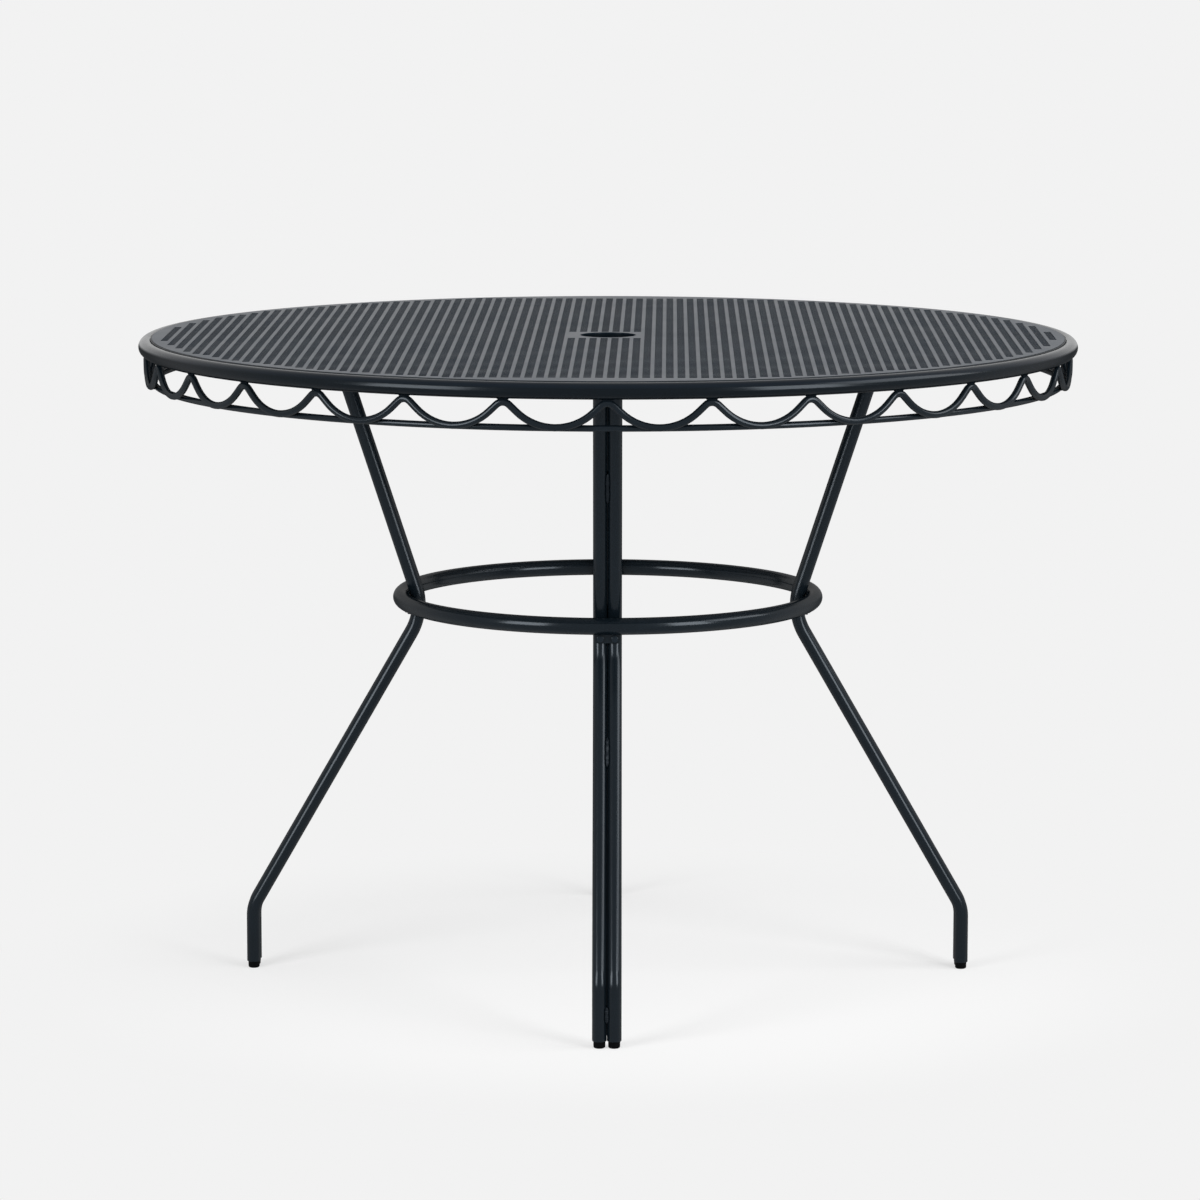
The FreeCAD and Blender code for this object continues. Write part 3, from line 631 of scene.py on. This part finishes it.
def pair_film():
    """The film of powder that closes the hairline between the two tubes of a pair.

    A ribbon along the centre line, with a four-cornered section that reaches FILM_DEPTH either
    way in the leg's plane and into both tubes.
    """
    path, heading = leg_path(np.array([14, 30, 45]) * MM)
    across = np.array([0, 1.0, 0])
    inward = np.cross(heading, across)
    depth = FILM_DEPTH * np.array([1, -1, -1, 1])[:, None]
    width = (TUBE_OFFSET - TUBE_REACH + FILM_OVERLAP) * np.array([-1, -1, 1, 1])[:, None]
    rings = path[:, None] + depth * inward[:, None] + width * across
    rings[-1, :, 2] = PLATE_LOW.z
    add_piece("pair_film", on_each_side(capped(rings)), tube_coat)


def leg_pairs():
    """The eight leg tubes, each in place of its node."""
    tube = leg_tube()
    for side, azimuth in AZIMUTHS.items():
        for mate, sign in MATES.items():
            shape = moved(tube, (0, sign * TUBE_OFFSET, 0), azimuth)
            node = f"leg_tube_{side}_{mate}"
            add_piece(f"leg_{side}_{mate}", shape, tube_coat, [node])


def foot_glides():
    """The glide under each tube: a plug whose tread is rounded over a quarter circle."""
    reach = (GLIDE_HIGH.y - GLIDE_LOW.y) / 2
    flat_reach = 0.6 * reach
    rounding = 2.2 * MM
    angle = np.linspace(0, math.pi / 2, 8)
    out = reach - rounding * (1 - np.sin(angle))
    tread = np.stack([out, rounding * (1 - np.cos(angle))], axis=-1)
    profile = np.concatenate([[(flat_reach, 0)], tread, [(reach, GLIDE_HIGH.z)]])
    glide = capped(lathe(profile))
    for side, azimuth in AZIMUTHS.items():
        for mate, sign in MATES.items():
            shape = moved(glide, (FOOT_RADIUS, sign * TUBE_OFFSET, 0), azimuth)
            node = f"foot_glide_{side}_{mate}"
            add_piece(f"glide_{side}_{mate}", shape, glide_plastic, [node])


def rings_and_skirt():
    """The rim, the brace ring, the hoop and the scalloped rod."""
    rim = torus(*RIM_SIZES, around=400, across=32)
    add_piece("rim", rim, rim_coat, ["rim_tube"])
    brace = torus(BRACE_RADIUS, BRACE_HEIGHT, BRACE_REACH, around=260, across=32)
    add_piece("brace", brace, tube_coat, ["brace_ring"])
    hoop = torus(HOOP_RADIUS, HOOP_HEIGHT, ROD_REACH, around=360, across=16)
    add_piece("hoop", hoop, tube_coat, ["skirt_hoop"])
    path, heading, side = scallop_path()
    rod = closed(swept(path, heading, side, ROD_DRAWN, across=16))
    add_piece("scallops", rod, tube_coat, ["scallop_rod"])


def collar():
    """The sleeve under the umbrella hole, a tube wall with rounded lower lips."""
    lip = 0.6 * MM
    wall = [
        (UMBRELLA_HOLE_RADIUS, SHEET_BOTTOM),
        (UMBRELLA_HOLE_RADIUS, COLLAR_LOW.z + lip),
        (UMBRELLA_HOLE_RADIUS + lip / 2, COLLAR_LOW.z),
        (COLLAR_HIGH.x - lip / 2, COLLAR_LOW.z),
        (COLLAR_HIGH.x, COLLAR_LOW.z + lip),
        (COLLAR_HIGH.x, SHEET_BOTTOM),
    ]
    shape = closed(lathe(wall, around=96))
    add_piece("collar", shape, tube_coat, ["umbrella_collar"])


def rails():
    """The flat box-section rails, with both ends cut to fit the round collar and the rim.

    The wall's outline, a rounded rectangle outside and one inside, is carried along the rail.
    At the collar the end lies at the collar's radius, and at the rim at the torus's inner face.
    """
    width, height = 2 * RAIL_HIGH.y, RAIL_HIGH.z - RAIL_LOW.z
    walls = [(0, 0), (RAIL_WALL, 0)]
    section = rounded_rectangle(width, height, RAIL_CORNER, walls, steps=5)
    y, z = section[..., 0], section[..., 1] + RAIL_MIDDLE
    inner = np.sqrt(COLLAR_HIGH.x**2 - y**2)
    rim_radius, rim_height, rim_reach = RIM_SIZES
    rise = np.clip(np.abs(z - rim_height), 0, rim_reach)
    outer = np.sqrt((rim_radius - np.sqrt(rim_reach**2 - rise**2)) ** 2 - y**2)
    near, far = np.stack([inner, y, z], axis=-1), np.stack([outer, y, z], axis=-1)
    shape = closed(np.stack([near[0], far[0], far[1], near[1]]))
    for side, azimuth in AZIMUTHS.items():
        rail = moved(shape, azimuth=azimuth)
        add_piece(f"rail_{side}", rail, tube_coat, [f"support_rail_{side}"])


def plates_and_bolts():
    """The plate over each leg pair, and its two bolts with washers."""
    corner, edge = 5 * MM, 0.7 * MM
    length, width = PLATE_HIGH.x - PLATE_LOW.x, PLATE_HIGH.y - PLATE_LOW.y
    shape = plate(length, width, PLATE_HIGH.z - PLATE_LOW.z, corner, edge)
    for side, azimuth in AZIMUTHS.items():
        piece = moved(shape, (PLATE_MIDDLE, 0, PLATE_LOW.z), azimuth)
        add_piece(f"plate_{side}", piece, tube_coat, [f"leg_plate_{side}"])

    flats, thickness = 13 * MM, 1.1 * MM
    head_reach = flats / math.sqrt(3)
    points, faces = hexagon_head(flats, PLATE_LOW.z - BOLTS_LOW.z - thickness)
    hanging = points * [1, -1, -1], faces
    round_washer = washer(1.12 * head_reach, thickness)
    outer = BOLTS_HIGH.x - head_reach
    bolts = []
    for shape in (hanging, round_washer):
        for out in (outer, 2 * PLATE_MIDDLE - outer):
            bolts.append(moved(shape, (out, 0, PLATE_LOW.z - thickness)))
    add_piece("bolts", on_each_side(together(bolts)), head_paint, ["plate_bolts"])


def brackets_and_screws():
    """The small plate under the brace ring on each leg pair, and its two screws."""
    corner, edge, flats = 2.5 * MM, 0.5 * MM, 7 * MM
    thickness = BRACKET_HIGH.x - BRACKET_LOW.x
    width, height = BRACKET_HIGH.y - BRACKET_LOW.y, BRACKET_HIGH.z - BRACKET_LOW.z
    middle = (BRACKET_HIGH.z + BRACKET_LOW.z) / 2
    upright = reordered(plate(width, height, thickness, corner, edge), [2, 0, 1])
    for side, azimuth in AZIMUTHS.items():
        piece = moved(upright, (BRACKET_LOW.x, 0, middle), azimuth)
        add_piece(f"bracket_{side}", piece, tube_coat, [f"ring_bracket_{side}"])
    screw_up = (SCREWS_HIGH.z + SCREWS_LOW.z) / 2
    head = reordered(hexagon_head(flats, SCREWS_HIGH.x - BRACKET_HIGH.x), [2, 0, 1])
    places = [(BRACKET_HIGH.x, sign * TUBE_OFFSET, screw_up) for sign in MATES.values()]
    screws = on_each_side(together(moved(head, place) for place in places))
    add_piece("screws", screws, head_paint, ["ring_screws"])


def pair_welds():
    """Beads in the grooves between paired tubes, on both sides, where the pairs are joined.

    A bead is tilted by the leg's lean, and stands off the centre line square to it.
    """
    groove, bead_reach = 5 * MM, 2.3 * MM
    foot_span, leg_spans = (28 * MM, 46 * MM), ((283 * MM, 318 * MM), (577 * MM, 613 * MM))
    beads = []
    for low, high in (foot_span, *leg_spans):
        up = (low + high) / 2
        out, lean = (FOOT_RADIUS, 0.0) if (low, high) == foot_span else leg_line(up)
        sine, cosine = math.sin(lean), math.cos(lean)
        points, faces = weld_bead(high - low, bead_reach, bead_reach)
        x, y, z = points.T
        tilted = np.stack([x * cosine + z * sine, y, z * cosine - x * sine], axis=-1)
        for sign in (-1, 1):
            shift = (out + sign * groove * cosine, 0, up - sign * groove * sine)
            beads.append(moved((tilted, faces), shift))
    add_piece("pair_welds", on_each_side(together(beads)), weld_coat)


def brace_welds():
    """A level bead over each tube, where the brace ring lies against it."""
    length, reach, inset, lift = 13 * MM, 1.8 * MM, 1.4 * MM, 5.2 * MM
    bead = reordered(weld_bead(length, reach, reach), [1, 2, 0])
    seat = BRACE_RADIUS - BRACE_REACH + inset
    places = [(seat, sign * TUBE_OFFSET, BRACE_HEIGHT + lift) for sign in MATES.values()]
    beads = on_each_side(together(moved(bead, place) for place in places))
    add_piece("brace_welds", beads, weld_coat)


def rail_welds():
    """Upright beads at both sides of each rail's ends, at the collar and at the rim."""
    reach, proud = 1.7 * MM, 0.4 * MM
    collar_inset, rim_inset = 0.6 * MM, 0.3 * MM
    bead = weld_bead(RAIL_HIGH.z - RAIL_LOW.z, reach, reach)
    collar_end = math.sqrt(COLLAR_HIGH.x**2 - RAIL_HIGH.y**2) + collar_inset
    rim_end = RAIL_HIGH.x - rim_inset
    beads = []
    for sign in (-1, 1):
        for out in (collar_end, rim_end):
            beads.append(moved(bead, (out, sign * (RAIL_HIGH.y + proud), RAIL_MIDDLE)))
    add_piece("rail_welds", on_each_side(together(beads)), weld_coat)


def level_bead(length, reach, depth):
    """A small weld bead laid along Y, with its faces turned over because two axes swap."""
    points, faces = weld_bead(length, reach, depth, rows=18, around=8)
    return points[:, [0, 2, 1]], [face[::-1] for face in faces]


def skirt_welds():
    """Beads where the scalloped rod meets the rim, at its peaks, and the hoop, at its valleys."""
    peak = level_bead(length=13 * MM, reach=2.6 * MM, depth=1.6 * MM)
    valley = level_bead(length=15 * MM, reach=1.5 * MM, depth=2.6 * MM)
    peak_place = (RIM_RADIUS, 0, RIM_HEIGHT - RIM_REACH)
    valley_place = ((HOOP_RADIUS + RIM_RADIUS) / 2, 0, (HOOP_HEIGHT + VALLEY_HEIGHT) / 2)
    step = 360 / SCALLOPS
    beads = []
    for index in range(SCALLOPS):
        beads.append(moved(valley, valley_place, step * index))
        beads.append(moved(peak, peak_place, step * (index + 0.5)))
    add_piece("skirt_welds", together(beads), weld_coat)


def plate_welds():
    """A rippled bead round the two tubes under each plate.

    Its path is the ellipse of a tube's slanted cut, grown by the fillet, with its two halves
    set apart by the tubes' offset. Its reach is bead_reach * (1 + ripple * cos(ripples * t)),
    for t once round.
    """
    fillet, bead_reach, ripple, ripples = 0.6 * MM, 1.7 * MM, 0.1, 24
    t = np.linspace(0, TURN, 72, endpoint=False)
    lengthened = TUBE_REACH / math.cos(UPPER_LEAN)
    half = np.sign(np.round(np.sin(t), 6))
    x = (lengthened + fillet) * np.cos(t)
    y = (TUBE_REACH + fillet) * np.sin(t) + TUBE_OFFSET * half
    path = np.stack([x, y, 0 * t], axis=-1)
    heading = np.roll(path, -1, axis=0) - np.roll(path, 1, axis=0)
    heading /= np.linalg.norm(heading, axis=1, keepdims=True)
    reach = bead_reach * (1 + ripple * np.cos(ripples * t))
    bead = closed(swept(path, heading, np.array([0, 0, 1.0]), reach, across=10))
    beads = on_each_side(moved(bead, (PLATE_MIDDLE, 0, PLATE_LOW.z)))
    add_piece("plate_welds", beads, weld_coat)


def sheet_seam():
    """The dark seam that closes the gap between the sheet's edge and the rim."""
    reach, outset, sunk = 1.3 * MM, 0.6 * MM, 0.2 * MM
    seam = torus(SHEET_RADIUS + outset, SHEET_BOTTOM - sunk, reach, around=300, across=8)
    add_piece("sheet_seam", seam, weld_coat)


rings_and_skirt()
sheet = moved(perforated_sheet(), azimuth=SHEET_TURN)
add_piece("sheet", sheet, sheet_coat, ["top_sheet"])
collar()
rails()
plates_and_bolts()
leg_pairs()
pair_film()
foot_glides()
brackets_and_screws()
pair_welds()
brace_welds()
rail_welds()
skirt_welds()
plate_welds()
sheet_seam()


# The photograph's frame, in its own pixels, and the camera that sees it so.
PHOTO_WIDTH = 1200
AXIS_PIXEL = 608.6
FOCAL_PIXELS = 5082
SENSOR = 36.0
CAMERA_DISTANCE = 5.79
CAMERA_HEIGHT = 1.277
CAMERA_AZIMUTH = math.radians(0.07)
CAMERA_PITCH = math.radians(8.318)
CAMERA_ROLL = -0.001
VIEW_END = 200

# The plain studio: its tones, how far its floor shows shade, and its light from all round.
BACKGROUND = "#f2f2f2"
FLOOR_TONE = "#eaeaea"
FLOOR_RADIUS = 80.0
FLOOR_GLOW = 0.62
SHADOW_NEAR = 0.32
SHADOW_FAR = 0.72
HORIZON_LIGHT = 0.9
ZENITH_LIGHT = 0.2
SOFTBOX_DISTANCE = 3.0


def add_camera():
    """The camera at the photograph's distance, height and tilt."""
    lens = bpy.data.cameras.new("camera")
    lens.sensor_width = SENSOR
    lens.lens = FOCAL_PIXELS / PHOTO_WIDTH * SENSOR
    lens.clip_end = VIEW_END
    camera = bpy.data.objects.new("camera", lens)
    camera.location = (
        CAMERA_DISTANCE * math.sin(CAMERA_AZIMUTH),
        -CAMERA_DISTANCE * math.cos(CAMERA_AZIMUTH),
        CAMERA_HEIGHT,
    )
    heading = CAMERA_AZIMUTH + math.atan((AXIS_PIXEL - PHOTO_WIDTH / 2) / FOCAL_PIXELS)
    camera.rotation_euler = (math.pi / 2 - CAMERA_PITCH, CAMERA_ROLL, heading)
    bpy.context.scene.collection.objects.link(camera)
    bpy.context.scene.camera = camera


def seen_rays(tree):
    """One for the rays that show the background: the camera's, mirrored and passing ones."""
    rays = add_node(tree, "ShaderNodeLightPath").outputs
    seen = rays["Is Camera Ray"]
    for kind in ("Is Glossy Ray", "Is Transmission Ray"):
        inputs = {0: seen, 1: rays[kind]}
        seen = add_node(tree, "ShaderNodeMath", inputs, operation="MAXIMUM").outputs["Value"]
    return seen


def add_floor():
    """A wide level floor in plain matt pale grey, a disc far larger than the view.

    Rays that show the background see it mixed with the backdrop's tone, more so away from the
    table, so that the contact shadows stay and the rest of the floor is even.
    """
    edge = lathe([(FLOOR_RADIUS, 0)], around=96)[0]
    mesh = bpy.data.meshes.new("floor")
    mesh.from_pydata(edge.tolist(), [], [list(range(len(edge)))])
    material, tree = new_material("matt_studio_floor")
    inputs = {"Base Color": linear(FLOOR_TONE), "Roughness": 0.9, "Specular IOR Level": 0.0}
    matt = add_node(tree, "ShaderNodeBsdfPrincipled", inputs).outputs["BSDF"]
    pale = add_node(tree, "ShaderNodeEmission", {"Color": linear(BACKGROUND)}).outputs["Emission"]
    place = add_node(tree, "ShaderNodeTexCoord").outputs["Object"]
    out = add_node(tree, "ShaderNodeVectorMath", {0: place}, operation="LENGTH").outputs["Value"]
    inputs = {
        "Value": out,
        "From Min": SHADOW_NEAR,
        "From Max": SHADOW_FAR,
        "To Min": FLOOR_GLOW,
    }
    glow = add_node(tree, "ShaderNodeMapRange", inputs, interpolation_type="SMOOTHSTEP")
    inputs = {0: seen_rays(tree), 1: glow.outputs["Result"]}
    share = add_node(tree, "ShaderNodeMath", inputs, operation="MULTIPLY").outputs["Value"]
    surface = add_node(tree, "ShaderNodeMixShader", {0: share, 1: matt, 2: pale}).outputs["Shader"]
    add_node(tree, "ShaderNodeOutputMaterial", {"Surface": surface})
    mesh.materials.append(material)
    floor = bpy.data.objects.new("floor", mesh)
    bpy.context.scene.collection.objects.link(floor)


def add_world():
    """Soft light from all round, brightest at the horizon, and a pale background."""
    world = bpy.data.worlds.new("studio")
    world.use_nodes = True
    tree = world.node_tree
    tree.nodes.clear()
    bpy.context.scene.world = world
    direction = add_node(tree, "ShaderNodeTexCoord").outputs["Generated"]
    rise = add_node(tree, "ShaderNodeSeparateXYZ", {"Vector": direction}).outputs["Z"]
    inputs = {"Value": rise, "To Min": HORIZON_LIGHT, "To Max": ZENITH_LIGHT}
    strength = add_node(tree, "ShaderNodeMapRange", inputs).outputs["Result"]
    inputs = {"Color": linear("#ffffff"), "Strength": strength}
    light = add_node(tree, "ShaderNodeBackground", inputs).outputs["Background"]
    inputs = {"Color": linear(BACKGROUND), "Strength": 1.0}
    backdrop = add_node(tree, "ShaderNodeBackground", inputs).outputs["Background"]
    inputs = {0: seen_rays(tree), 1: light, 2: backdrop}
    mixed = add_node(tree, "ShaderNodeMixShader", inputs).outputs["Shader"]
    add_node(tree, "ShaderNodeOutputWorld", {"Surface": mixed})


def add_softbox(name, power, azimuth, width, low, high):
    """An upright softbox that faces the table's axis, in watts, degrees and metres.

    It stands at an azimuth from the camera's side, between two heights.
    """
    lamp = bpy.data.lights.new(name, "AREA")
    lamp.shape = "RECTANGLE"
    lamp.size, lamp.size_y = width, high - low
    lamp.energy = power
    holder = bpy.data.objects.new(name, lamp)
    angle = math.radians(azimuth)
    across, away = SOFTBOX_DISTANCE * math.sin(angle), -SOFTBOX_DISTANCE * math.cos(angle)
    holder.location = (across, away, (low + high) / 2)
    holder.rotation_euler = (math.pi / 2, 0, angle)
    bpy.context.scene.collection.objects.link(holder)


add_camera()
add_floor()
add_world()
add_softbox("left_softbox", power=84, azimuth=-43, width=1.2, low=0.35, high=2.12)
add_softbox("right_softbox", power=88, azimuth=43, width=1.1, low=0.35, high=2.3)
add_softbox("side_softbox", power=78, azimuth=76, width=2.0, low=1.5, high=3.4)
bpy.context.scene.view_settings.view_transform = "Standard"
